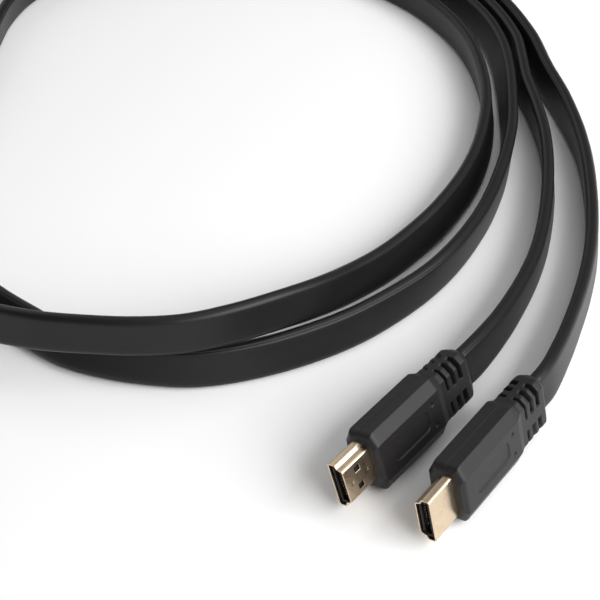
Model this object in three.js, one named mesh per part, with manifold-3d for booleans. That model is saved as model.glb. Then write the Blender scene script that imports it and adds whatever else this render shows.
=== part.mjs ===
// Flat video cable, wound into a doubled coil that lies on its edge, with both plugs on one side.
// Millimetres, +Z up, the floor at z = 0.
import * as THREE from "three";
import { mergeVertices } from "three/addons/utils/BufferGeometryUtils.js";
import Module from "manifold-3d";

const wasm = await Module();
wasm.setup();

// Flat cable
const cableWidth = 13.4;
const cableThickness = 4.4;
const cableEdgePoints = 6;
const cableSteps = 100;
const floorClearance = 0.1;
const jointGap = 0.3;

// Coil: where its centre lies on the floor
const coilCentreX = -13.18;
const coilCentreY = 24.01;

// Plug shell: D-shaped tube, its wide side and its narrow side
const shellWidth = 13.9;
const shellNarrowWidth = 10.4;
const shellHeight = 4.45;
const shellWall = 0.35;
const shellReach = 11.4;
const shellSideDepth = 2.2;
const shellStepIn = 1.1;
const shellStepDepth = 0.5;
const shellCorner = 0.35;
const latchLength = 2.2;
const latchWidth = 1.9;
const latchSpacing = 5.8;
const latchFromTip = 4.6;

// Insulator in the shell, and the slot that takes the socket's tongue
const insulatorSetback = 0.7;
const insulatorClearance = 0.05;
const slotWidth = 11.2;
const slotHeight = 2.1;
const slotDepth = 8.2;

// Contacts in two rows, ten on the wide side and nine on the narrow side
const contactPitch = 1;
const contactWidth = 0.45;
const contactThickness = 0.35;
const contactLength = 7;
const contactsWideRow = 10;
const contactsNarrowRow = 9;

// Overmould: grip, shoulder and strain relief in one moulding
const gripLength = 29.7;
const gripWidth = 20;
const gripThickness = 12;
const gripSideThickness = 7.8;
const gripFaceWidth = 12.4;
const gripCorner = 2.8;
const frontBevel = 0.9;
const shoulderLength = 3.1;
const reliefLength = 15;
const reliefWidth = 17.4;
const reliefThickness = 10.2;
const reliefSideThickness = 6.2;
const reliefFaceWidth = 13;
const collarTaper = 2.4;
const collarEndWidth = 15.4;
const collarEndThickness = 7.4;
const slotCutDepth = 1.5;
const slotWidth1 = 0.8;
const slotWidth2 = 1.6;
const slotPitch = 3.35;
const slotFirstOffset = 2.8;
const faceRibWidth = 4;
const sideRibWidth = 2.2;
const panelDepth = 0.3;
const panelLength = 17.6;
const panelWidth = 6.8;
const panelCorner = 2.2;
const panelFromFront = 6.3;
const pitRadius = 0.6;
const pitDepth = 0.5;
const pitSpacing = 7.2;
const pitFromShoulder = 3.4;

// Plugs: tip of plug A's shell on the floor plan from the coil's centre, plug B's tip from plug A's,
// heading of each tip, backward lean, and the straight run of cable behind each plug
const plugATipX = 71.25;
const plugATipY = -195.5;
const plugAHeading = 230.8;
const plugALean = 20;
const plugBAsideX = 23;
const plugBAsideY = -12.1;
const plugBHeading = 233.1;
const plugBLean = 13.8;
const leadOut = 8;
const plugs = [
  {
    name: "plug_a",
    tipX: plugATipX,
    tipY: plugATipY,
    heading: plugAHeading,
    lean: plugALean,
    narrowOut: true,
  },
  {
    name: "plug_b",
    tipX: plugATipX + plugBAsideX,
    tipY: plugATipY + plugBAsideY,
    heading: plugBHeading,
    lean: plugBLean,
    narrowOut: false,
  },
];

// Cable route between the straight runs, from plug A to plug B: azimuth and radius about the coil's centre,
// lift of the lower edge, lean of the upper edge to the left of the way
const route = [
  [-46.5, 178.3, 2.9, 12],
  [-41, 173.3, 1.5, 8],
  [-35, 168.6, 0.5, 6],
  [-29, 164.1, 0, 7],
  [-20, 158.3, 0, 8],
  [-10, 153.7, 0, 6],
  [-2, 150.5, 0, 2],
  [5, 148.9, 0, -3],
  [10, 150.3, 0, -7],
  [17, 153.9, 0, -9],
  [30, 157, 0, -7],
  [45, 157.2, 0, 0],
  [60, 155.3, 0, 6],
  [75, 152.2, 0, 10],
  [90, 148.5, 0, 10],
  [105, 145, 0, 10],
  [120, 141.5, 0, 10],
  [135, 138.5, 0, 10],
  [150, 135.5, 0, 10],
  [165, 131.5, 0, 10],
  [180, 126, 0, 10],
  [195, 120, 0, 12],
  [210, 115, 0, 18],
  [225, 112.2, 0, 26],
  [238, 113.2, 0, 33],
  [246, 116.9, 0, 36],
  [252, 121.8, 0, 37],
  [258, 127.3, 0, 37],
  [264, 134.5, 0, 33],
  [269, 138.7, 0, 29],
  [275, 142.9, 0, 24],
  [281, 146.3, 0, 20],
  [288, 147.2, 0, 20],
  [296, 147.1, 0, 21],
  [304, 146.6, 0, 19],
  [316, 145.2, 0, 7],
  [328, 142.5, 0, 2],
  [340, 140.3, 0, 1],
  [352, 140, 0, -7],
  [360, 140.5, 0, -13],
  [368, 142.9, 0, -18],
  [376, 146.4, 0, -17],
  [384, 149, 0, -13],
  [393, 149.7, 0, -10],
  [405, 149, 0, -5],
  [420, 145.8, 0, 4],
  [435, 141.6, 0, 10],
  [450, 137.4, 0, 10],
  [465, 134.5, 0, 10],
  [480, 132, 0, 10],
  [495, 129.5, 0, 10],
  [510, 125.4, 0, 8],
  [521, 123, 0, 6],
  [531, 121.5, 0, 4],
  [537.1, 118.8, 0, 2],
  [542.2, 111.1, 0, 0],
  [545.5, 99.7, 0, 0],
  [545.4, 86.7, 0, 0],
  [540.5, 75.9, 0, -2],
  [531, 71.5, 0, -3],
  [521, 72.6, 0, -5],
  [511, 77, 0, -7],
  [501, 85.2, 0, -8],
  [492, 95.6, 0, -9],
  [483, 106, 0, -10],
  [474, 114.2, 0, -10],
  [462, 121.6, 0, -10],
  [447, 126.5, 0, -10],
  [432, 129.5, 0, -10],
  [417, 132.8, 0, -8],
  [402, 135.4, 0, -4],
  [390, 136.2, 0, 0],
  [378, 135.2, 0, 0],
  [364, 132.8, 0, -6],
  [352, 131.1, 0, -14],
  [340, 129.9, 0, -19],
  [328, 129, 0, -21],
  [320, 129, 0.2, -21],
  [313, 130.4, 1.5, -20],
  [306, 132.9, 4.2, -18],
  [299, 137.6, 8.9, -16],
  [292, 141.8, 12.7, -14],
  [286, 144.5, 14.1, -13],
  [280, 145.8, 14.2, -12],
  [274, 145.2, 14.2, -11],
  [268, 143.9, 14, -10],
  [262, 142.4, 13, -12],
  [255, 139, 10.4, -15],
  [247, 135.7, 7.2, -15],
  [239, 133.6, 4.2, -14],
  [230, 132.3, 1.6, -13],
  [220, 131.9, 0.2, -12],
  [210, 132.6, 0, -10],
  [195, 134.8, 0, -10],
  [180, 137.5, 0, -10],
  [165, 140.8, 0, -10],
  [150, 144.5, 0, -10],
  [135, 148, 0, -10],
  [120, 151.5, 0, -10],
  [105, 155, 0, -10],
  [90, 158.5, 0, -10],
  [75, 162, 0, -8],
  [60, 164.6, 0, -3],
  [45, 165.2, 0, 3],
  [30, 163.6, 0, 8],
  [17, 160.4, 0, 12],
  [8, 158.6, 0, 12],
  [0, 161.4, 0, 7],
  [-10, 167.1, 0, -5],
  [-20, 173.7, 0, -7],
  [-29, 181.6, 0, -7],
  [-35, 187.4, 0.5, -7],
  [-40, 192.8, 1.4, -7],
  [-44.6, 198.7, 2.8, -9],
];

function solidOf(geometry) {
  geometry.deleteAttribute("normal");
  geometry.deleteAttribute("uv");
  const merged = mergeVertices(geometry, 1e-4);
  return new wasm.Manifold(
    new wasm.Mesh({
      numProp: 3,
      vertProperties: merged.attributes.position.array,
      triVerts: new Uint32Array(merged.index.array),
    }),
  );
}

function geometryOf(solid) {
  const mesh = solid.getMesh();
  const geometry = new THREE.BufferGeometry();
  geometry.setAttribute("position", new THREE.BufferAttribute(mesh.vertProperties, 3));
  geometry.setIndex(new THREE.BufferAttribute(mesh.triVerts, 1));
  const flat = geometry.toNonIndexed();
  flat.computeVertexNormals();
  return flat;
}

// An outline of [x, y] points extruded by a depth along its own z
function prism(points, depth) {
  const shape = new THREE.Shape(points.map(([x, y]) => new THREE.Vector2(x, y)));
  return new THREE.ExtrudeGeometry(shape, { depth, bevelEnabled: false, steps: 1 });
}

// Plug frame: x runs from the tip (0) back along the plug (negative), y is its width, z its thickness.
// The section of a prism lies in y and z, and the prism runs from x = from back to x = to.
function sectionPrism(points, from, to) {
  const geometry = prism(points, from - to);
  geometry.applyMatrix4(
    new THREE.Matrix4().makeBasis(
      new THREE.Vector3(0, 1, 0),
      new THREE.Vector3(0, 0, 1),
      new THREE.Vector3(1, 0, 0),
    ),
  );
  geometry.translate(to, 0, 0);
  return solidOf(geometry);
}

// An outline in x and y, extruded through the thickness
function facePrism(points, bottom, top) {
  const geometry = prism(points, top - bottom);
  geometry.translate(0, 0, bottom);
  return solidOf(geometry);
}

function boxSolid(x0, x1, y0, y1, z0, z1) {
  const geometry = new THREE.BoxGeometry(x1 - x0, y1 - y0, z1 - z0);
  geometry.translate((x0 + x1) / 2, (y0 + y1) / 2, (z0 + z1) / 2);
  return solidOf(geometry);
}

function mirrored(half) {
  return [...half, ...half.map(([y, z]) => [-y, z]).reverse()];
}

// D-section of the shell, inset by a wall, wide side at -z and narrow side at +z
function shellSection(inset) {
  const wide = shellWidth / 2 - inset;
  const narrow = shellNarrowWidth / 2 - inset * 0.6;
  const low = -shellHeight / 2 + inset;
  const high = shellHeight / 2 - inset;
  const corner = Math.max(shellCorner - inset / 2, 0.1);
  const stepZ = -shellHeight / 2 + shellSideDepth + inset * 0.4;
  return mirrored([
    [wide - corner, low],
    [wide, low + corner],
    [wide, stepZ],
    [wide - shellStepIn, stepZ + shellStepDepth],
    [narrow, high - corner],
    [narrow - corner, high],
  ]);
}

const gripFront = -shellReach;
const shoulderStart = gripFront - gripLength;
const reliefStart = shoulderStart - shoulderLength;
const reliefEnd = reliefStart - reliefLength;

// Eight-sided section: two broad faces, two narrow sides and a chamfer between each
function chamferedSection(halfWidth, halfThick, halfFace, halfSide) {
  return mirrored([
    [halfFace, -halfThick],
    [halfWidth, -halfSide],
    [halfWidth, halfSide],
    [halfFace, halfThick],
  ]);
}

// Solid through chamfered sections, each given as x, half width, half thickness, half face, half side
function loft(stations) {
  const rings = stations.map(([x, ...sizes]) => chamferedSection(...sizes).map(([y, z]) => [x, y, z]));
  const spans = rings.slice(1).map((ring, i) => wasm.Manifold.hull([...rings[i], ...ring]));
  return wasm.Manifold.union(spans);
}

const gripSizes = [gripWidth / 2, gripThickness / 2, gripFaceWidth / 2, gripSideThickness / 2];
const reliefSizes = [reliefWidth / 2, reliefThickness / 2, reliefFaceWidth / 2, reliefSideThickness / 2];

// Front of the grip: rounded in plan by the corner's radius, and bevelled on both broad faces
function frontStation(degrees) {
  const angle = THREE.MathUtils.degToRad(degrees);
  const back = gripCorner * (1 - Math.cos(angle));
  const narrower = gripCorner * (1 - Math.sin(angle));
  const bevel = Math.max(frontBevel - back, 0);
  const [halfWidth, halfThick, halfFace, halfSide] = gripSizes;
  return [gripFront - back, halfWidth - narrower, halfThick - bevel, halfFace - narrower / 2, halfSide - bevel];
}

// Cross slots of the strain relief, cut into its four corners between a rib along each face and side
function reliefSlots() {
  const cuts = [slotWidth1, slotWidth2, slotWidth2].map((width, i) => {
    const middle = reliefStart - slotFirstOffset - i * slotPitch;
    const core = sectionPrism(
      chamferedSection(...reliefSizes.map((size) => size - slotCutDepth)),
      middle + width,
      middle - width,
    );
    const corners = [-1, 1].flatMap((side) =>
      [-1, 1].map((face) => {
        const across = [(side * faceRibWidth) / 2, side * gripWidth].sort((a, b) => a - b);
        const deep = [(face * sideRibWidth) / 2, face * gripThickness].sort((a, b) => a - b);
        return boxSolid(middle - width / 2, middle + width / 2, ...across, ...deep);
      }),
    );
    return wasm.Manifold.union(corners).subtract(core);
  });
  return wasm.Manifold.union(cuts);
}

// Outline of the plain recess on each broad face, with round corners
function panelOutline() {
  const front = gripFront - panelFromFront;
  const back = front - panelLength;
  const half = panelWidth / 2;
  const corner = (cx, cy, from) =>
    [0, 30, 60, 90].map((step) => {
      const angle = THREE.MathUtils.degToRad(from + step);
      return [cx + panelCorner * Math.cos(angle), cy + panelCorner * Math.sin(angle)];
    });
  return [
    ...corner(front - panelCorner, half - panelCorner, 0),
    ...corner(back + panelCorner, half - panelCorner, 90),
    ...corner(back + panelCorner, panelCorner - half, 180),
    ...corner(front - panelCorner, panelCorner - half, 270),
  ];
}

function overmould() {
  const collarEnd = [
    collarEndWidth / 2,
    collarEndThickness / 2,
    reliefFaceWidth / 2 - (reliefWidth - collarEndWidth) / 2,
    reliefSideThickness / 2 - (reliefThickness - collarEndThickness) / 2,
  ];
  let solid = loft([
    frontStation(0),
    frontStation(30),
    frontStation(60),
    frontStation(90),
    [shoulderStart, ...gripSizes],
    [reliefStart, ...reliefSizes],
    [reliefEnd + collarTaper, ...reliefSizes],
    [reliefEnd, ...collarEnd],
  ]);
  solid = solid.subtract(reliefSlots());
  for (const face of [-1, 1]) {
    const floor = face * (gripThickness / 2 - panelDepth);
    const [z0, z1] = [floor, face * gripThickness].sort((a, b) => a - b);
    solid = solid.subtract(facePrism(panelOutline(), z0, z1));
    for (const side of [-1, 1]) {
      const pit = new THREE.CylinderGeometry(pitRadius, pitRadius, pitDepth * 2, 16);
      pit.rotateX(Math.PI / 2);
      pit.translate(shoulderStart + pitFromShoulder, (side * pitSpacing) / 2, (face * gripThickness) / 2);
      solid = solid.subtract(solidOf(pit));
    }
  }
  return solid;
}

function shell() {
  let solid = sectionPrism(shellSection(0), 0, gripFront + jointGap);
  solid = solid.subtract(sectionPrism(shellSection(shellWall), shellWall, gripFront - shellWall));
  for (const side of [-1, 1]) {
    const y = (side * latchSpacing) / 2;
    solid = solid.subtract(
      boxSolid(
        -latchFromTip - latchLength,
        -latchFromTip,
        y - latchWidth / 2,
        y + latchWidth / 2,
        0,
        shellHeight,
      ),
    );
  }
  return solid;
}

function insulator() {
  const inset = shellWall + insulatorClearance;
  const block = sectionPrism(shellSection(inset), -insulatorSetback, gripFront + jointGap);
  const slot = boxSolid(
    -insulatorSetback - slotDepth,
    1,
    -slotWidth / 2,
    slotWidth / 2,
    -slotHeight / 2,
    slotHeight / 2,
  );
  return block.subtract(slot);
}

function contact(row, index, count) {
  const y = (index - (count - 1) / 2) * contactPitch;
  const wall = (row * slotHeight) / 2;
  const [z0, z1] = [wall, wall - row * contactThickness].sort((a, b) => a - b);
  const back = -insulatorSetback - slotDepth;
  return boxSolid(back, back + contactLength, y - contactWidth / 2, y + contactWidth / 2, z0, z1);
}

// From the plug frame to the floor: the tip's heading, then the backward lean about the plug's length
function plugMatrix(plug) {
  const heading = THREE.MathUtils.degToRad(plug.heading);
  const lean = THREE.MathUtils.degToRad(plug.lean);
  const along = new THREE.Vector3(Math.cos(heading), Math.sin(heading), 0);
  const inward = new THREE.Vector3(Math.sin(heading), -Math.cos(heading), 0);
  const width = new THREE.Vector3(0, 0, Math.cos(lean)).addScaledVector(inward, Math.sin(lean));
  const matrix = new THREE.Matrix4().makeBasis(along, width, along.clone().cross(width));
  const restHeight = (gripWidth * Math.cos(lean) + gripSideThickness * Math.sin(lean)) / 2;
  matrix.setPosition(coilCentreX + plug.tipX, coilCentreY + plug.tipY, restHeight);
  return matrix;
}

// Flat cable swept on its edge along the route
class CableRoute extends THREE.CatmullRomCurve3 {
  constructor(points, leans) {
    super(points, false, "centripetal");
    this.leans = leans;
  }

  leanAt(u) {
    const place = this.getUtoTmapping(u) * (this.leans.length - 1);
    const index = Math.min(Math.floor(place), this.leans.length - 2);
    return THREE.MathUtils.lerp(this.leans[index], this.leans[index + 1], place - index);
  }

  computeFrenetFrames(segments) {
    const tangents = [];
    const normals = [];
    const binormals = [];
    for (let i = 0; i <= segments; i += 1) {
      const tangent = this.getTangentAt(i / segments);
      const left = new THREE.Vector3(0, 0, 1).cross(tangent).normalize();
      const up = tangent.clone().cross(left);
      const lean = THREE.MathUtils.degToRad(this.leanAt(i / segments));
      const leanedUp = up.clone().multiplyScalar(Math.cos(lean)).addScaledVector(left, Math.sin(lean));
      tangents.push(tangent);
      binormals.push(leanedUp);
      normals.push(leanedUp.clone().cross(tangent));
    }
    return { tangents, normals, binormals };
  }
}

function cableHeight(lift, lean) {
  const reach = (cableWidth - cableThickness) / 2;
  const standing = reach * Math.cos(THREE.MathUtils.degToRad(lean));
  return floorClearance + lift + standing + cableThickness / 2;
}

// Point on the plug's axis, some way behind the end of its strain relief
function behind(plug, distance) {
  return new THREE.Vector3(reliefEnd - distance, 0, 0).applyMatrix4(plugMatrix(plug));
}

function cable() {
  const points = route.map(([azimuth, radius, lift, lean]) => {
    const angle = THREE.MathUtils.degToRad(azimuth);
    return new THREE.Vector3(
      coilCentreX + radius * Math.cos(angle),
      coilCentreY + radius * Math.sin(angle),
      cableHeight(lift, lean),
    );
  });
  const leans = route.map((row) => row[3]);
  const [first, last] = plugs;
  const path = new CableRoute(
    [behind(first, jointGap), behind(first, leadOut), ...points, behind(last, leadOut), behind(last, jointGap)],
    [first.lean, first.lean, ...leans, -last.lean, -last.lean],
  );
  path.arcLengthDivisions = 4000;
  const edge = cableThickness / 2;
  const reach = (cableWidth - cableThickness) / 2;
  const section = [];
  for (const side of [1, -1]) {
    for (let i = 0; i < cableEdgePoints; i += 1) {
      const angle = (Math.PI * i) / (cableEdgePoints - 1);
      section.push(
        new THREE.Vector2(side * edge * Math.cos(angle), side * (reach + edge * Math.sin(angle))),
      );
    }
  }
  const geometry = new THREE.ExtrudeGeometry(new THREE.Shape(section), {
    steps: cableSteps,
    extrudePath: path,
    bevelEnabled: false,
  });
  return { solid: solidOf(geometry), length: path.getLength() };
}

function material(color, metalness, roughness) {
  return new THREE.MeshStandardMaterial({ color, metalness, roughness });
}

const group = new THREE.Group();
group.name = "flat_video_cable";

function addNode(name, solid, finish, matrix) {
  const mesh = new THREE.Mesh(geometryOf(solid), finish);
  mesh.name = name;
  if (matrix) mesh.applyMatrix4(matrix);
  group.add(mesh);
}

addNode("flat_cable", cable().solid, material(0x1c1b1d, 0, 0.5));
for (const plug of plugs) {
  const matrix = plugMatrix(plug);
  const turned = matrix.clone();
  if (plug.narrowOut) turned.multiply(new THREE.Matrix4().makeRotationX(Math.PI));
  addNode(`${plug.name}_overmould`, overmould(), material(0x2b2a2c, 0, 0.55), matrix);
  addNode(`${plug.name}_shell`, shell(), material(0xd8b078, 1, 0.3), turned);
  addNode(`${plug.name}_insulator`, insulator(), material(0x151515, 0, 0.6), turned);
  for (let i = 0; i < contactsWideRow; i += 1) {
    const pin = contact(-1, i, contactsWideRow);
    addNode(`${plug.name}_contact_wide_${i + 1}`, pin, material(0xd8b078, 1, 0.35), turned);
  }
  for (let i = 0; i < contactsNarrowRow; i += 1) {
    const pin = contact(1, i, contactsNarrowRow);
    addNode(`${plug.name}_contact_narrow_${i + 1}`, pin, material(0xd8b078, 1, 0.35), turned);
  }
}

export default group;
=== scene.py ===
from math import cos, pi, radians, sin

import bpy
import numpy as np
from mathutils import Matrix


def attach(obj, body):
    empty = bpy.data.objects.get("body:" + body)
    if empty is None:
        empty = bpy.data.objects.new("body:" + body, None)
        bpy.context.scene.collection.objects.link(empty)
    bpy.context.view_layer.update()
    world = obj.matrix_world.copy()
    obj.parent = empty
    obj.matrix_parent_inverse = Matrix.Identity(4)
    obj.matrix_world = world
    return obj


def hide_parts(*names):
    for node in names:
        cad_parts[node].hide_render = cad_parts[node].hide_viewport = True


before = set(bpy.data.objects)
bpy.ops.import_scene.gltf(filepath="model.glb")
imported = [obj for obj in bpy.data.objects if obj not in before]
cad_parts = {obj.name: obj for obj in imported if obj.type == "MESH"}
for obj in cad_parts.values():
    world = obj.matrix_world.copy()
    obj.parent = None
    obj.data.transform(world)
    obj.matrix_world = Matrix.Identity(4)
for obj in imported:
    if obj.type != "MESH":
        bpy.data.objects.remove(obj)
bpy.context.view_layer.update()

MM = 0.001

# Camera: where it looks on the floor, how far off and how steeply, and its field of view
LOOK_AT = np.array([46.82, -80.99, 0.0]) * MM
CAMERA_DISTANCE = 467.8 * MM
CAMERA_ELEVATION = 41.74
CAMERA_LENS = 84.1

# Flat cable, coil centre and plug places, as in the part's source, in metres
CABLE_WIDTH = 13.4 * MM
CABLE_THICKNESS = 4.4 * MM
SIDE_HOLLOW = 0.06 * MM
GROOVE_DEPTH = 0.16 * MM
RING_STEP = 2.4 * MM
FLOOR_CLEARANCE = 0.1 * MM
JOINT_GAP = 0.3 * MM
COIL_CENTRE = np.array([-13.18, 24.01]) * MM
PLUGS = {
    "plug_a": dict(tip=(71.25 * MM, -195.5 * MM), heading=230.8, lean=20, narrow_out=True),
    "plug_b": dict(tip=(94.25 * MM, -207.6 * MM), heading=233.1, lean=13.8, narrow_out=False),
}

# Plug shell, in millimetres in the plug's own frame. It runs a little way into the grip, and the
# dimples are at places along and across its narrow side.
SHELL_WIDTH = 13.9
SHELL_NARROW = 10.4
SHELL_HEIGHT = 4.45
SHELL_WALL = 0.35
SHELL_REACH = 11.4
SHELL_SIDE_DEPTH = 2.2
SHELL_STEP_IN = 1.1
SHELL_STEP_DEPTH = 0.5
SHELL_SUNK = 0.2
SHELL_EDGE = 0.07
DIMPLES = ((-2.7, 0.3), (-9.3, 0.0))
DIMPLE_DEPTH = 0.14
LATCH_LENGTH = 2.2
LATCH_WIDTH = 1.9
LATCH_SPACING = 5.8
LATCH_FROM_TIP = 4.6

# Overmould, in millimetres in the plug's own frame. The slots, the recess and the pits are cut deeper
# than in the plain solid, so that they look darker.
GRIP_LENGTH = 29.7
GRIP_WIDTH = 20
GRIP_THICKNESS = 12
GRIP_SIDE_THICKNESS = 7.8
GRIP_FACE_WIDTH = 12.4
GRIP_CORNER = 2.8
FRONT_BEVEL = 0.9
SHOULDER_LENGTH = 3.1
RELIEF_LENGTH = 15
RELIEF_WIDTH = 17.4
RELIEF_THICKNESS = 10.2
RELIEF_SIDE_THICKNESS = 6.2
RELIEF_FACE_WIDTH = 13
COLLAR_TAPER = 2.4
COLLAR_END_WIDTH = 15.4
COLLAR_END_THICKNESS = 7.4
SLOT_DEPTH = 2.1
SLOT_WIDTHS = (0.8, 1.6, 1.6)
SLOT_PITCH = 3.35
SLOT_FIRST_OFFSET = 2.8
FACE_RIB_WIDTH = 4
SIDE_RIB_WIDTH = 2.2
PANEL_DEPTH = 0.35
PANEL_LENGTH = 17.6
PANEL_WIDTH = 6.8
PANEL_CORNER = 2.2
PANEL_FROM_FRONT = 6.3
PIT_RADIUS = 0.6
PIT_DEPTH = 1.1
PIT_SPACING = 7.2
PIT_FROM_SHOULDER = 3.4
SEAM_HEIGHT = 0.1
GRIP_EDGE = 0.45
RELIEF_EDGE = 1.2

GRIP_FRONT = -SHELL_REACH
SHOULDER_START = GRIP_FRONT - GRIP_LENGTH
RELIEF_START = SHOULDER_START - SHOULDER_LENGTH
RELIEF_END = RELIEF_START - RELIEF_LENGTH
LEAD_OUT = 8

# Between the straight runs behind the plugs, from plug A to plug B: azimuth in degrees and radius in
# millimetres about the coil's centre, lift of the lower edge, lean of the upper edge to the left
ROUTE = np.array([
    (-46.5, 178.3, 2.9, 12), (-41, 173.3, 1.5, 8), (-35, 168.6, 0.5, 6),
    (-29, 164.1, 0, 7), (-20, 158.3, 0, 8), (-10, 153.7, 0, 6), (-2, 150.5, 0, 2), (5, 148.9, 0, -3),
    (10, 150.3, 0, -7), (17, 153.9, 0, -9), (30, 157, 0, -7), (45, 157.2, 0, 0), (60, 155.3, 0, 6),
    (75, 152.2, 0, 10), (90, 148.5, 0, 10), (105, 145, 0, 10), (120, 141.5, 0, 10), (135, 138.5, 0, 10),
    (150, 135.5, 0, 10), (165, 131.5, 0, 10), (180, 126, 0, 10), (195, 120, 0, 12), (210, 115, 0, 18),
    (225, 112.2, 0, 26), (238, 113.2, 0, 33), (246, 116.9, 0, 36), (252, 121.8, 0, 37),
    (258, 127.3, 0, 37), (264, 134.5, 0, 33), (269, 138.7, 0, 29), (275, 142.9, 0, 24),
    (281, 146.3, 0, 20), (288, 147.2, 0, 20), (296, 147.1, 0, 21), (304, 146.6, 0, 19),
    (316, 145.2, 0, 7), (328, 142.5, 0, 2), (340, 140.3, 0, 1), (352, 140, 0, -7), (360, 140.5, 0, -13),
    (368, 142.9, 0, -18), (376, 146.4, 0, -17), (384, 149, 0, -13), (393, 149.7, 0, -10),
    (405, 149, 0, -5), (420, 145.8, 0, 4), (435, 141.6, 0, 10), (450, 137.4, 0, 10),
    (465, 134.5, 0, 10), (480, 132, 0, 10), (495, 129.5, 0, 10), (510, 125.4, 0, 8), (521, 123, 0, 6),
    (531, 121.5, 0, 4), (537.1, 118.8, 0, 2), (542.2, 111.1, 0, 0), (545.5, 99.7, 0, 0),
    (545.4, 86.7, 0, 0), (540.5, 75.9, 0, -2), (531, 71.5, 0, -3), (521, 72.6, 0, -5), (511, 77, 0, -7),
    (501, 85.2, 0, -8), (492, 95.6, 0, -9), (483, 106, 0, -10), (474, 114.2, 0, -10),
    (462, 121.6, 0, -10), (447, 126.5, 0, -10), (432, 129.5, 0, -10), (417, 132.8, 0, -8),
    (402, 135.4, 0, -4), (390, 136.2, 0, 0), (378, 135.2, 0, 0), (364, 132.8, 0, -6),
    (352, 131.1, 0, -14), (340, 129.9, 0, -19), (328, 129, 0, -21), (320, 129, 0.2, -21),
    (313, 130.4, 1.5, -20), (306, 132.9, 4.2, -18), (299, 137.6, 8.9, -16), (292, 141.8, 12.7, -14),
    (286, 144.5, 14.1, -13), (280, 145.8, 14.2, -12), (274, 145.2, 14.2, -11), (268, 143.9, 14, -10),
    (262, 142.4, 13, -12), (255, 139, 10.4, -15), (247, 135.7, 7.2, -15), (239, 133.6, 4.2, -14),
    (230, 132.3, 1.6, -13), (220, 131.9, 0.2, -12), (210, 132.6, 0, -10), (195, 134.8, 0, -10),
    (180, 137.5, 0, -10), (165, 140.8, 0, -10), (150, 144.5, 0, -10), (135, 148, 0, -10),
    (120, 151.5, 0, -10), (105, 155, 0, -10), (90, 158.5, 0, -10), (75, 162, 0, -8), (60, 164.6, 0, -3),
    (45, 165.2, 0, 3), (30, 163.6, 0, 8), (17, 160.4, 0, 12), (8, 158.6, 0, 12), (0, 161.4, 0, 7),
    (-10, 167.1, 0, -5), (-20, 173.7, 0, -7), (-29, 181.6, 0, -7), (-35, 187.4, 0.5, -7),
    (-40, 192.8, 1.4, -7), (-44.6, 198.7, 2.8, -9),
])


def linear(hex_colour):
    """Linear RGBA of an sRGB hex value."""
    parts = [int(hex_colour[i:i + 2], 16) / 255 for i in (1, 3, 5)]
    return [c / 12.92 if c <= 0.04045 else ((c + 0.055) / 1.055) ** 2.4 for c in parts] + [1.0]


def node(tree, kind, settings=None, **links):
    """Adds a node, sets its properties, and joins or sets its inputs by name."""
    made = tree.nodes.new(kind)
    for key, value in (settings or {}).items():
        setattr(made, key, value)
    for key, value in links.items():
        socket = made.inputs[int(key[1:])] if key[1:].isdigit() else made.inputs[key.replace("_", " ")]
        if isinstance(value, bpy.types.NodeSocket):
            tree.links.new(value, socket)
        else:
            socket.default_value = value
    return made


def blank_material(name):
    made = bpy.data.materials.new(name)
    made.use_nodes = True
    made.node_tree.nodes.clear()
    return made, made.node_tree


def mesh_piece(name, points, faces, material, smooth=True):
    """A mesh object at the origin from points in metres."""
    mesh = bpy.data.meshes.new(name)
    mesh.from_pydata(points.reshape(-1, 3).tolist(), [], faces)
    mesh.validate()
    mesh.shade_smooth() if smooth else mesh.shade_flat()
    piece = bpy.data.objects.new(name, mesh)
    bpy.context.scene.collection.objects.link(piece)
    mesh.materials.append(material)
    return piece


def tube_faces(rings, columns):
    """Quads between neighbouring rings of a closed section, and a cap on each end ring."""
    ring = np.arange(rings - 1)[:, None] * columns
    here = np.arange(columns)[None, :]
    after = (here + 1) % columns
    quads = np.stack([ring + here, ring + after, ring + columns + after, ring + columns + here], -1)
    caps = [list(range(columns))[::-1], list(range((rings - 1) * columns, rings * columns))]
    return quads.reshape(-1, 4).tolist() + caps


# --- Materials

PLASTIC_GRAIN = 0.35 * MM
PLASTIC_GRAIN_DEPTH = 0.05 * MM
PLASTIC_MOTTLE = 9 * MM
GOLD_GRAIN = 0.3 * MM
GOLD_GRAIN_DEPTH = 0.02 * MM
GOLD_CLOUD = 2.5 * MM


def black_plastic(name, colour, roughness, grain):
    """Black plastic as it comes out of its tool: a satin sheen broken by fine grain, over a broad and
    faint mottle. Such grain, taken as 0.1 mm, is too fine to show and is drawn at 0.35 mm."""
    made, tree = blank_material(name)
    place = node(tree, "ShaderNodeTexCoord").outputs["Object"]
    fine = node(tree, "ShaderNodeTexNoise", Vector=place, Scale=1 / PLASTIC_GRAIN, Detail=3.0)
    broad = node(tree, "ShaderNodeTexNoise", Vector=place, Scale=1 / PLASTIC_MOTTLE, Detail=2.0)
    tint = node(tree, "ShaderNodeMix", {"data_type": "RGBA"}, Factor=broad.outputs["Fac"])
    tint.inputs[6].default_value = linear(colour[0])
    tint.inputs[7].default_value = linear(colour[1])
    rough = node(tree, "ShaderNodeMapRange", Value=fine.outputs["Fac"], To_Min=roughness - 0.05,
                 To_Max=roughness + 0.07)
    bump = node(tree, "ShaderNodeBump", Height=fine.outputs["Fac"], Strength=grain,
                Distance=PLASTIC_GRAIN_DEPTH)
    shader = node(tree, "ShaderNodeBsdfPrincipled", Base_Color=tint.outputs[2],
                  Roughness=rough.outputs[0], Normal=bump.outputs[0], IOR=1.53, Specular_IOR_Level=0.32)
    node(tree, "ShaderNodeOutputMaterial", Surface=shader.outputs[0])
    return made


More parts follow.
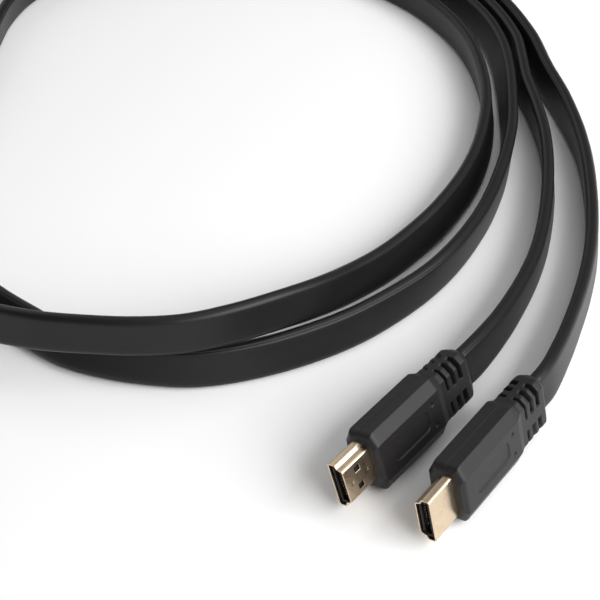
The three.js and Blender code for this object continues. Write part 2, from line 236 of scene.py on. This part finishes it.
def gold_plate():
    """Gold-plated brass, stamped and polished: bright warm metal, a little cloudy from handling."""
    made, tree = blank_material("gold_plated_brass")
    place = node(tree, "ShaderNodeTexCoord").outputs["Object"]
    cloud = node(tree, "ShaderNodeTexNoise", Vector=place, Scale=1 / GOLD_CLOUD, Detail=4.0)
    fine = node(tree, "ShaderNodeTexNoise", Vector=place, Scale=1 / GOLD_GRAIN, Detail=2.0)
    tint = node(tree, "ShaderNodeMix", {"data_type": "RGBA"}, Factor=cloud.outputs["Fac"])
    tint.inputs[6].default_value = linear("#d2bb9f")
    tint.inputs[7].default_value = linear("#e4d1b6")
    rough = node(tree, "ShaderNodeMapRange", Value=cloud.outputs["Fac"], To_Min=0.22, To_Max=0.36)
    bump = node(tree, "ShaderNodeBump", Height=fine.outputs["Fac"], Strength=0.12,
                Distance=GOLD_GRAIN_DEPTH)
    shader = node(tree, "ShaderNodeBsdfPrincipled", Base_Color=tint.outputs[2],
                  Roughness=rough.outputs[0], Normal=bump.outputs[0], Metallic=1.0)
    node(tree, "ShaderNodeOutputMaterial", Surface=shader.outputs[0])
    return made


# Soft PVC jacket, extruded: near black and smoothest, so that light runs along it
JACKET = black_plastic("extruded_pvc_jacket", ("#0f0e10", "#141315"), 0.4, 0.14)
# Soft PVC grip, moulded in a grained tool: a little lighter and duller
GRIP = black_plastic("moulded_pvc_grip", ("#191718", "#1e1c1d"), 0.46, 0.3)
GOLD = gold_plate()
# Hard polymer block, moulded: the dullest black of the three
INSULATOR = black_plastic("moulded_black_insulator", ("#101010", "#181818"), 0.55, 0.15)


# --- Camera

def look_from():
    elevation = radians(CAMERA_ELEVATION)
    data = bpy.data.cameras.new("view")
    data.lens = CAMERA_LENS
    data.sensor_width = 36
    data.sensor_fit = "HORIZONTAL"
    data.clip_start = 0.01
    view = bpy.data.objects.new("view", data)
    view.location = LOOK_AT + CAMERA_DISTANCE * np.array([0, -cos(elevation), sin(elevation)])
    view.rotation_euler = (pi / 2 - elevation, 0, 0)
    bpy.context.scene.collection.objects.link(view)
    bpy.context.scene.camera = view


look_from()


# --- Plug frames

def plug_frame(plug):
    """Axes and place of a plug: x to the tip, y its width, z its thickness, as in the part's source."""
    heading, lean = radians(plug["heading"]), radians(plug["lean"])
    along = np.array([cos(heading), sin(heading), 0])
    inward = np.array([sin(heading), -cos(heading), 0])
    width = cos(lean) * np.array([0, 0, 1]) + sin(lean) * inward
    rest = (GRIP_WIDTH * cos(lean) + GRIP_SIDE_THICKNESS * sin(lean)) / 2 * MM
    place = np.append(COIL_CENTRE + np.array(plug["tip"]), rest)
    return np.stack([along, width, np.cross(along, width)]), place


def to_floor(points, plug, turned=False):
    """Plug-frame points in millimetres to scene metres; turned swaps the wide and the narrow side."""
    axes, place = plug_frame(plug)
    points = np.asarray(points, float) * (1, -1, -1) if turned else np.asarray(points, float)
    return points * MM @ axes + place


# --- Flat cable

def cable_knots():
    azimuth, radius, lift, lean = ROUTE.T
    reach = (CABLE_WIDTH - CABLE_THICKNESS) / 2
    height = FLOOR_CLEARANCE + lift * MM + reach * np.cos(np.radians(lean)) + CABLE_THICKNESS / 2
    angle = np.radians(azimuth)
    points = np.stack([COIL_CENTRE[0] + radius * MM * np.cos(angle),
                       COIL_CENTRE[1] + radius * MM * np.sin(angle), height], 1)
    behind = [(RELIEF_END - JOINT_GAP / MM, 0, 0), (RELIEF_END - LEAD_OUT, 0, 0)]
    first, last = PLUGS["plug_a"], PLUGS["plug_b"]
    leans = np.concatenate([[first["lean"]] * 2, lean, [-last["lean"]] * 2])
    return np.vstack([to_floor(behind, first), points, to_floor(behind[::-1], last)]), leans


def centripetal(points, per_span=40):
    """Centripetal Catmull-Rom curve through the points: on each span a cubic whose end slopes come
    from the chords to the neighbours, each chord timed by the square root of its length."""
    padded = np.vstack([2 * points[0] - points[1], points, 2 * points[-1] - points[-2]])
    p0, p1, p2, p3 = padded[:-3], padded[1:-2], padded[2:-1], padded[3:]
    gap = lambda a, b: np.sqrt(np.linalg.norm(b - a, axis=1))[:, None]
    d0, d1, d2 = gap(p0, p1), gap(p1, p2), gap(p2, p3)
    start = ((p1 - p0) / d0 - (p2 - p0) / (d0 + d1) + (p2 - p1) / d1) * d1
    end = ((p2 - p1) / d1 - (p3 - p1) / (d1 + d2) + (p3 - p2) / d2) * d1
    t = np.linspace(0, 1, per_span, endpoint=False)[None, :, None]
    a, b, c, d = (v[:, None, :] for v in (p1, start, p2, end))
    curve = (a * (2 * t**3 - 3 * t**2 + 1) + b * (t**3 - 2 * t**2 + t)
             + c * (-2 * t**3 + 3 * t**2) + d * (t**3 - t**2))
    spans = np.arange(len(points) - 1)[:, None] + t[0, :, 0]
    return np.vstack([curve.reshape(-1, 3), points[-1]]), np.append(spans.ravel(), len(points) - 1)


def cable_centreline(step):
    """Points every step along the route, with the lean there."""
    knots, leans = cable_knots()
    curve, span = centripetal(knots)
    travelled = np.concatenate([[0], np.cumsum(np.linalg.norm(np.diff(curve, axis=0), axis=1))])
    length = travelled[-1]
    at = np.linspace(0, length, int(round(length / step)) + 1)
    centre = np.stack([np.interp(at, travelled, curve[:, k]) for k in range(3)], 1)
    lean = np.interp(np.interp(at, travelled, span), np.arange(len(leans)), leans)
    return centre, lean, length


def cable_section():
    """Section of the jacket: half circles for the edges, joined by broad sides that are a trace
    hollow. One fine groove runs along the right-hand side of the upper edge, where the arc has turned
    thirty degrees from the broad side."""
    edge = CABLE_THICKNESS / 2
    reach = (CABLE_WIDTH - CABLE_THICKNESS) / 2
    turn = np.radians([0, 9, 20, 35, 52, 71, 90, 109, 128, 140, 145,
                       147.5, 150, 152.5, 155, 162, 171, 180])
    cut = np.interp(np.degrees(turn), [144, 147.5, 150, 152.5, 156],
                    np.array([0, 0.625, 1, 0.625, 0]) * GROOVE_DEPTH)
    top = np.stack([(edge - cut) * np.cos(turn), reach + (edge - cut) * np.sin(turn)], 1)
    turn = np.linspace(0, pi, 13)
    bottom = -np.stack([edge * np.cos(turn), reach + edge * np.sin(turn)], 1)
    down = np.linspace(reach, -reach, 6)[1:-1]
    side = np.stack([np.full(4, SIDE_HOLLOW - edge), down], 1)
    return np.vstack([top, side, bottom, -side])


def flat_cable():
    """Section carried along the centreline: each ring lies across the way, its long side leaned."""
    centre, lean, length = cable_centreline(RING_STEP)
    way = np.gradient(centre, axis=0)
    way /= np.linalg.norm(way, axis=1, keepdims=True)
    left = np.cross([0, 0, 1], way)
    left /= np.linalg.norm(left, axis=1, keepdims=True)
    up = np.cross(way, left)
    tilt = np.radians(lean)[:, None]
    high = up * np.cos(tilt) + left * np.sin(tilt)
    side = np.cross(high, way)
    section = cable_section()
    across, upward = section[None, :, :1], section[None, :, 1:]
    rings = centre[:, None] + side[:, None] * across + high[:, None] * upward
    piece = mesh_piece("cable_jacket", rings, tube_faces(len(centre), len(section)), JACKET)
    return piece, centre, length


cable, centreline, cable_length = flat_cable()


# --- Overmould

def smooth(value, low, high):
    """Smooth step from 0 at low to 1 at high."""
    t = np.clip((value - low) / (high - low), 0, 1)
    return t * t * (3 - 2 * t)


def rounded_ring(corners, radius, arc, spread):
    """Closed sections with each corner turned into a short quadratic curve, pulled towards the corner:
    from a point before it to one after it, each the radius times the tangent of half the turn away.
    corners is (rows, K, 2), and spread lists, for each edge, the shares along it that get a point."""
    before, after = np.roll(corners, 1, 1), np.roll(corners, -1, 1)
    into = corners - before
    out = after - corners
    into_length = np.linalg.norm(into, axis=2, keepdims=True)
    out_length = np.linalg.norm(out, axis=2, keepdims=True)
    into, out = into / into_length, out / out_length
    turn = np.arccos(np.clip((into * out).sum(2, keepdims=True), -1, 1))
    reach = radius[:, None, None] * np.tan(turn / 2)
    reach = np.minimum(reach, 0.45 * np.minimum(into_length, out_length))
    start, end = corners - into * reach, corners + out * reach
    t = np.linspace(0, 1, arc)[None, :, None]
    pieces = []
    for k in range(corners.shape[1]):
        pieces.append((1 - t) ** 2 * start[:, k, None] + 2 * t * (1 - t) * corners[:, k, None]
                      + t**2 * end[:, k, None])
        following = start[:, (k + 1) % corners.shape[1], None]
        share = np.asarray(spread[k])[None, :, None]
        pieces.append(end[:, k, None] * (1 - share) + following * share)
    return np.concatenate(pieces, 1)


GRIP_HALF = np.array([GRIP_WIDTH, GRIP_THICKNESS, GRIP_FACE_WIDTH, GRIP_SIDE_THICKNESS]) / 2
RELIEF_HALF = np.array([RELIEF_WIDTH, RELIEF_THICKNESS, RELIEF_FACE_WIDTH, RELIEF_SIDE_THICKNESS]) / 2


def overmould_stations():
    """Places along the moulding, closer together where its form turns."""
    front = GRIP_FRONT - GRIP_CORNER * (1 - np.cos(np.radians([0, 12, 25, 38, 51, 64, 77])))
    grip = np.linspace(GRIP_FRONT - GRIP_CORNER + 0.2, SHOULDER_START + 0.3, 112)
    shoulder = SHOULDER_START + np.array([0.12, 0, -0.15, -0.4, -0.9, -1.6, -2.3, -2.8, -3.1])
    relief = np.linspace(RELIEF_START - 0.15, RELIEF_END + 0.25, 108)
    end = RELIEF_END + np.array([0.08, 0, -0.2, -0.35])
    return np.concatenate([front, grip, shoulder, relief, end])


def overmould_sizes(x):
    """Half width, half thickness, half face and half side at each place, and the corners' radius.
    The front corner is a quarter circle in plan, the shoulder a smooth fall from the grip to the
    relief, and the collar narrows towards the cable."""
    fall = smooth(-x, -SHOULDER_START - 0.1, -RELIEF_START + 0.4)[:, None]
    sizes = GRIP_HALF * (1 - fall) + RELIEF_HALF * fall
    back = np.clip(GRIP_FRONT - x, 0, GRIP_CORNER)
    narrower = GRIP_CORNER - np.sqrt(GRIP_CORNER**2 - (GRIP_CORNER - back) ** 2)
    bevel = FRONT_BEVEL * (1 - smooth(back, 0, 1.3))
    sizes = sizes - np.stack([narrower, bevel, narrower / 2, bevel], 1)
    tail = np.clip((RELIEF_END + COLLAR_TAPER - x) / COLLAR_TAPER, 0, 1.1) ** 1.4
    taper = np.array([RELIEF_WIDTH - COLLAR_END_WIDTH, RELIEF_THICKNESS - COLLAR_END_THICKNESS,
                      RELIEF_WIDTH - COLLAR_END_WIDTH, RELIEF_THICKNESS - COLLAR_END_THICKNESS]) / 2
    sizes = sizes - tail[:, None] * taper
    radius = GRIP_EDGE + (RELIEF_EDGE - GRIP_EDGE) * fall[:, 0]
    return sizes, radius


def slot_share(x):
    """One inside a slot, nought outside, with a slightly eased lip on both edges."""
    share = np.zeros_like(x)
    for i, width in enumerate(SLOT_WIDTHS):
        off = np.abs(x - (RELIEF_START - SLOT_FIRST_OFFSET - i * SLOT_PITCH))
        share = np.maximum(share, 1 - smooth(off, width / 2 - 0.02, width / 2 + 0.16))
        share = np.maximum(share, 0.05 * (1 - smooth(off, width / 2, width / 2 + 0.5)))
    return share


def chamfered_corners(sizes):
    """Eight corners of the section: two broad faces, two narrow sides and a chamfer between each."""
    w, t, f, s = sizes.T
    y = np.stack([-f, f, w, w, f, -f, -w, -w], 1)
    z = np.stack([-t, -t, -s, s, t, t, s, -s], 1)
    return np.stack([y, z], 2)


def face_relief(x, y):
    """How far the broad face is sunk: the plain recess inside a rectangle with round corners, by its
    distance from the outline, and two pits by the distance from their middles."""
    middle = GRIP_FRONT - PANEL_FROM_FRONT - PANEL_LENGTH / 2
    dx = np.abs(x - middle) - PANEL_LENGTH / 2 + PANEL_CORNER
    dy = np.abs(y) - PANEL_WIDTH / 2 + PANEL_CORNER
    past = np.hypot(np.maximum(dx, 0), np.maximum(dy, 0))
    outside = past + np.minimum(np.maximum(dx, dy), 0) - PANEL_CORNER
    sunk = PANEL_DEPTH * (1 - smooth(outside, -0.22, 0.02))
    pit = np.hypot(x - SHOULDER_START - PIT_FROM_SHOULDER, np.abs(y) - PIT_SPACING / 2)
    return sunk + PIT_DEPTH * (1 - smooth(pit, PIT_RADIUS - 0.12, PIT_RADIUS + 0.14))


def overmould(name, plug):
    """Grip, shoulder and slotted strain relief as one surface: rounded sections along the plug, sunk
    in the slots, the recess and the pits, and raised along the seam on both narrow sides."""
    x = overmould_stations()
    sizes, radius = overmould_sizes(x)
    face_share = np.linspace(0, 1, 51)[1:-1]
    chamfer_share = np.linspace(0, 1, 10)[1:-1]
    side_share = np.array([0.1, 0.2, 0.3, 0.38, 0.44, 0.475, 0.49, 0.5,
                           0.51, 0.525, 0.56, 0.62, 0.7, 0.8, 0.9])
    spread = [face_share, chamfer_share, side_share, chamfer_share] * 2
    ring = rounded_ring(chamfered_corners(sizes), radius, 7, spread)
    core = rounded_ring(chamfered_corners(sizes - SLOT_DEPTH), radius, 7, spread)
    slot = slot_share(x)[:, None]
    off_face_rib = smooth(np.abs(ring[:, :, 0]), FACE_RIB_WIDTH / 2 - 0.05, FACE_RIB_WIDTH / 2 + 0.2)
    off_side_rib = smooth(np.abs(ring[:, :, 1]), SIDE_RIB_WIDTH / 2 - 0.05, SIDE_RIB_WIDTH / 2 + 0.2)
    cut = (slot * off_face_rib * off_side_rib)[:, :, None]
    ring = ring * (1 - cut) + core * cut
    on_face = np.abs(np.abs(ring[:, :, 1]) - sizes[:, 1:2]) < 0.02
    in_grip = (x > SHOULDER_START)[:, None]
    sunk = face_relief(x[:, None], ring[:, :, 0]) * on_face * in_grip
    ring[:, :, 1] -= np.sign(ring[:, :, 1]) * sunk
    on_side = np.abs(np.abs(ring[:, :, 0]) - sizes[:, 0:1]) < 0.02
    seam = SEAM_HEIGHT * (1 - smooth(np.abs(ring[:, :, 1]), 0.03, 0.16)) * on_side * in_grip
    ring[:, :, 0] += np.sign(ring[:, :, 0]) * seam
    rows, columns, _ = ring.shape
    points = np.concatenate([np.repeat(x[:, None, None], columns, 1), ring], 2)

    # Front face: the section drawn in almost to a point behind the shell
    lead = [points[0] * (1, k, k) for k in (0.03, 0.3, 0.6, 0.85)]

    # Back face: drawn in to the cable
    last = points[-1]
    shrink = np.array([1, CABLE_WIDTH / MM / COLLAR_END_WIDTH,
                       CABLE_THICKNESS / MM / COLLAR_END_THICKNESS])
    points = np.concatenate([np.array(lead), points, [last * (1, 0.97, 0.94), last * shrink]])
    return mesh_piece(name, to_floor(points, plug), tube_faces(len(points), columns), GRIP)


# --- Shell

def shell_outline():
    """The D-section's outer line, once round from one corner of the wide side, with round corners:
    points in y and z, close enough on the narrow side to shape the dimples and the latch holes."""
    wide, narrow = SHELL_WIDTH / 2, SHELL_NARROW / 2
    low, high = -SHELL_HEIGHT / 2, SHELL_HEIGHT / 2
    step = low + SHELL_SIDE_DEPTH
    inner = wide - SHELL_STEP_IN
    half = [(wide, low), (wide, step), (inner, step + SHELL_STEP_DEPTH), (narrow, high)]
    corners = np.array([half + [(-y, z) for y, z in reversed(half)]])
    short = np.linspace(0, 1, 5)[1:-1]
    across = np.linspace(0, 1, 41)[1:-1]
    spread = [short, short, short, across, short, short, short, across]
    return rounded_ring(corners, np.array([0.55]), 6, spread)[0]


def shell(name, plug):
    """The shell's outer surface: the section carried from the tip to the grip, with the two latch
    holes left out of the narrow side and a shallow dimple before one and behind the other. Solidify
    gives the wall, and Bevel breaks its edges."""
    line = shell_outline()
    x = np.concatenate([[0, -0.12], np.linspace(-0.35, GRIP_FRONT - SHELL_SUNK, 60)])
    points = np.concatenate([np.repeat(x[:, None, None], len(line), 1),
                             np.repeat(line[None], len(x), 0)], 2)
    top = points[:, :, 2] > SHELL_HEIGHT / 2 - 0.01
    for place, y in DIMPLES:
        off = np.hypot(points[:, :, 0] - place, points[:, :, 1] - y)
        points[:, :, 2] -= DIMPLE_DEPTH * (1 - smooth(off, 0.15, 0.75)) * top
    quads = np.array(tube_faces(len(x), len(line))[:-2])
    middle = points.reshape(-1, 3)[quads].mean(1)
    back, front = -LATCH_FROM_TIP - LATCH_LENGTH, -LATCH_FROM_TIP
    cut = ((middle[:, 2] > SHELL_HEIGHT / 2 - 0.2) & (middle[:, 0] > back) & (middle[:, 0] < front)
           & (np.abs(np.abs(middle[:, 1]) - LATCH_SPACING / 2) < LATCH_WIDTH / 2))
    piece = mesh_piece(name, to_floor(points, plug, plug["narrow_out"]), quads[~cut].tolist(), GOLD)
    wall = piece.modifiers.new("wall", "SOLIDIFY")
    wall.thickness = SHELL_WALL * MM
    wall.offset = -1
    wall.use_even_offset = True
    edge = piece.modifiers.new("edge", "BEVEL")
    edge.width = SHELL_EDGE * MM
    edge.segments = 2
    edge.limit_method = "ANGLE"
    edge.angle_limit = radians(50)
    return piece


def eased(name, material, width):
    """A solid of the plug's inside, with its edges broken."""
    piece = bpy.data.objects[name]
    for slot in piece.material_slots:
        slot.material = material
    weld = piece.modifiers.new("weld", "WELD")
    weld.merge_threshold = 0.001 * MM
    edge = piece.modifiers.new("edge", "BEVEL")
    edge.width = width
    edge.segments = 2
    edge.limit_method = "ANGLE"
    edge.angle_limit = radians(40)
    return piece


plug_pieces = []
for name, plug in PLUGS.items():
    grip = overmould(f"{name}_grip", plug)
    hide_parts(f"{name}_overmould")
    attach(grip, "root")
    cover = shell(f"{name}_cover", plug)
    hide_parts(f"{name}_shell")
    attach(cover, "root")
    plug_pieces += [grip, cover, eased(f"{name}_insulator", INSULATOR, 0.08 * MM)]
    for row, count in (("wide", 10), ("narrow", 9)):
        for i in range(count):
            eased(f"{name}_contact_{row}_{i + 1}", GOLD, 0.05 * MM)

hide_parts("flat_cable")
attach(cable, "root")


# --- Studio

# Pale walls that fade to a dark ceiling, and softboxes round the coil: azimuth and elevation in
# degrees, width and height in metres, power in watts
HORIZON = 0.6
CEILING = 0.12
SOFTBOX_DISTANCE = 0.95
FLOOR_REACH = 3.0
SOFTBOXES = (
    ("key", -35, 33, 1.0, 0.6, 10.8),
    ("top", 20, 68, 0.9, 0.9, 2.8),
    ("back", 130, 35, 0.8, 0.8, 1.5),
)


def studio():
    scene = bpy.context.scene
    corners = FLOOR_REACH * np.array([(-1, -1, 0), (1, -1, 0), (1, 1, 0), (-1, 1, 0)])
    floor = mesh_piece("floor", corners, [(0, 1, 2, 3)], pale_paper(), smooth=False)
    world = bpy.data.worlds.new("studio")
    scene.world = world
    world.use_nodes = True
    tree = world.node_tree
    tree.nodes.clear()
    place = node(tree, "ShaderNodeTexCoord").outputs["Generated"]
    high = node(tree, "ShaderNodeSeparateXYZ", Vector=place)
    fade = node(tree, "ShaderNodeMapRange", Value=high.outputs["Z"], From_Min=0.0, From_Max=0.5,
                To_Min=HORIZON, To_Max=CEILING)
    back = node(tree, "ShaderNodeBackground", Color=(1, 1, 1, 1), Strength=fade.outputs[0])
    node(tree, "ShaderNodeOutputWorld", Surface=back.outputs[0])
    for name, azimuth, elevation, width, height, power in SOFTBOXES:
        data = bpy.data.lights.new(name, "AREA")
        data.shape = "RECTANGLE"
        data.size = width
        data.size_y = height
        data.energy = power
        lamp = bpy.data.objects.new(name, data)
        turn, rise = radians(azimuth), radians(elevation)
        way = np.array([cos(rise) * cos(turn), cos(rise) * sin(turn), sin(rise)])
        lamp.location = SOFTBOX_DISTANCE * way
        lamp.rotation_euler = (pi / 2 - rise, 0, turn + pi / 2)
        scene.collection.objects.link(lamp)
    scene.view_settings.view_transform = "Standard"


def pale_paper():
    """Matt white paper, drawn with a very faint broad mottle."""
    made, tree = blank_material("matt_white_paper")
    place = node(tree, "ShaderNodeTexCoord").outputs["Object"]
    cloud = node(tree, "ShaderNodeTexNoise", Vector=place, Scale=6.0, Detail=1.0)
    tint = node(tree, "ShaderNodeMix", {"data_type": "RGBA"}, Factor=cloud.outputs["Fac"])
    tint.inputs[6].default_value = linear("#fcfcfc")
    tint.inputs[7].default_value = linear("#ffffff")
    shader = node(tree, "ShaderNodeBsdfPrincipled", Base_Color=tint.outputs[2], Roughness=0.9)
    node(tree, "ShaderNodeOutputMaterial", Surface=shader.outputs[0])
    return made


studio()
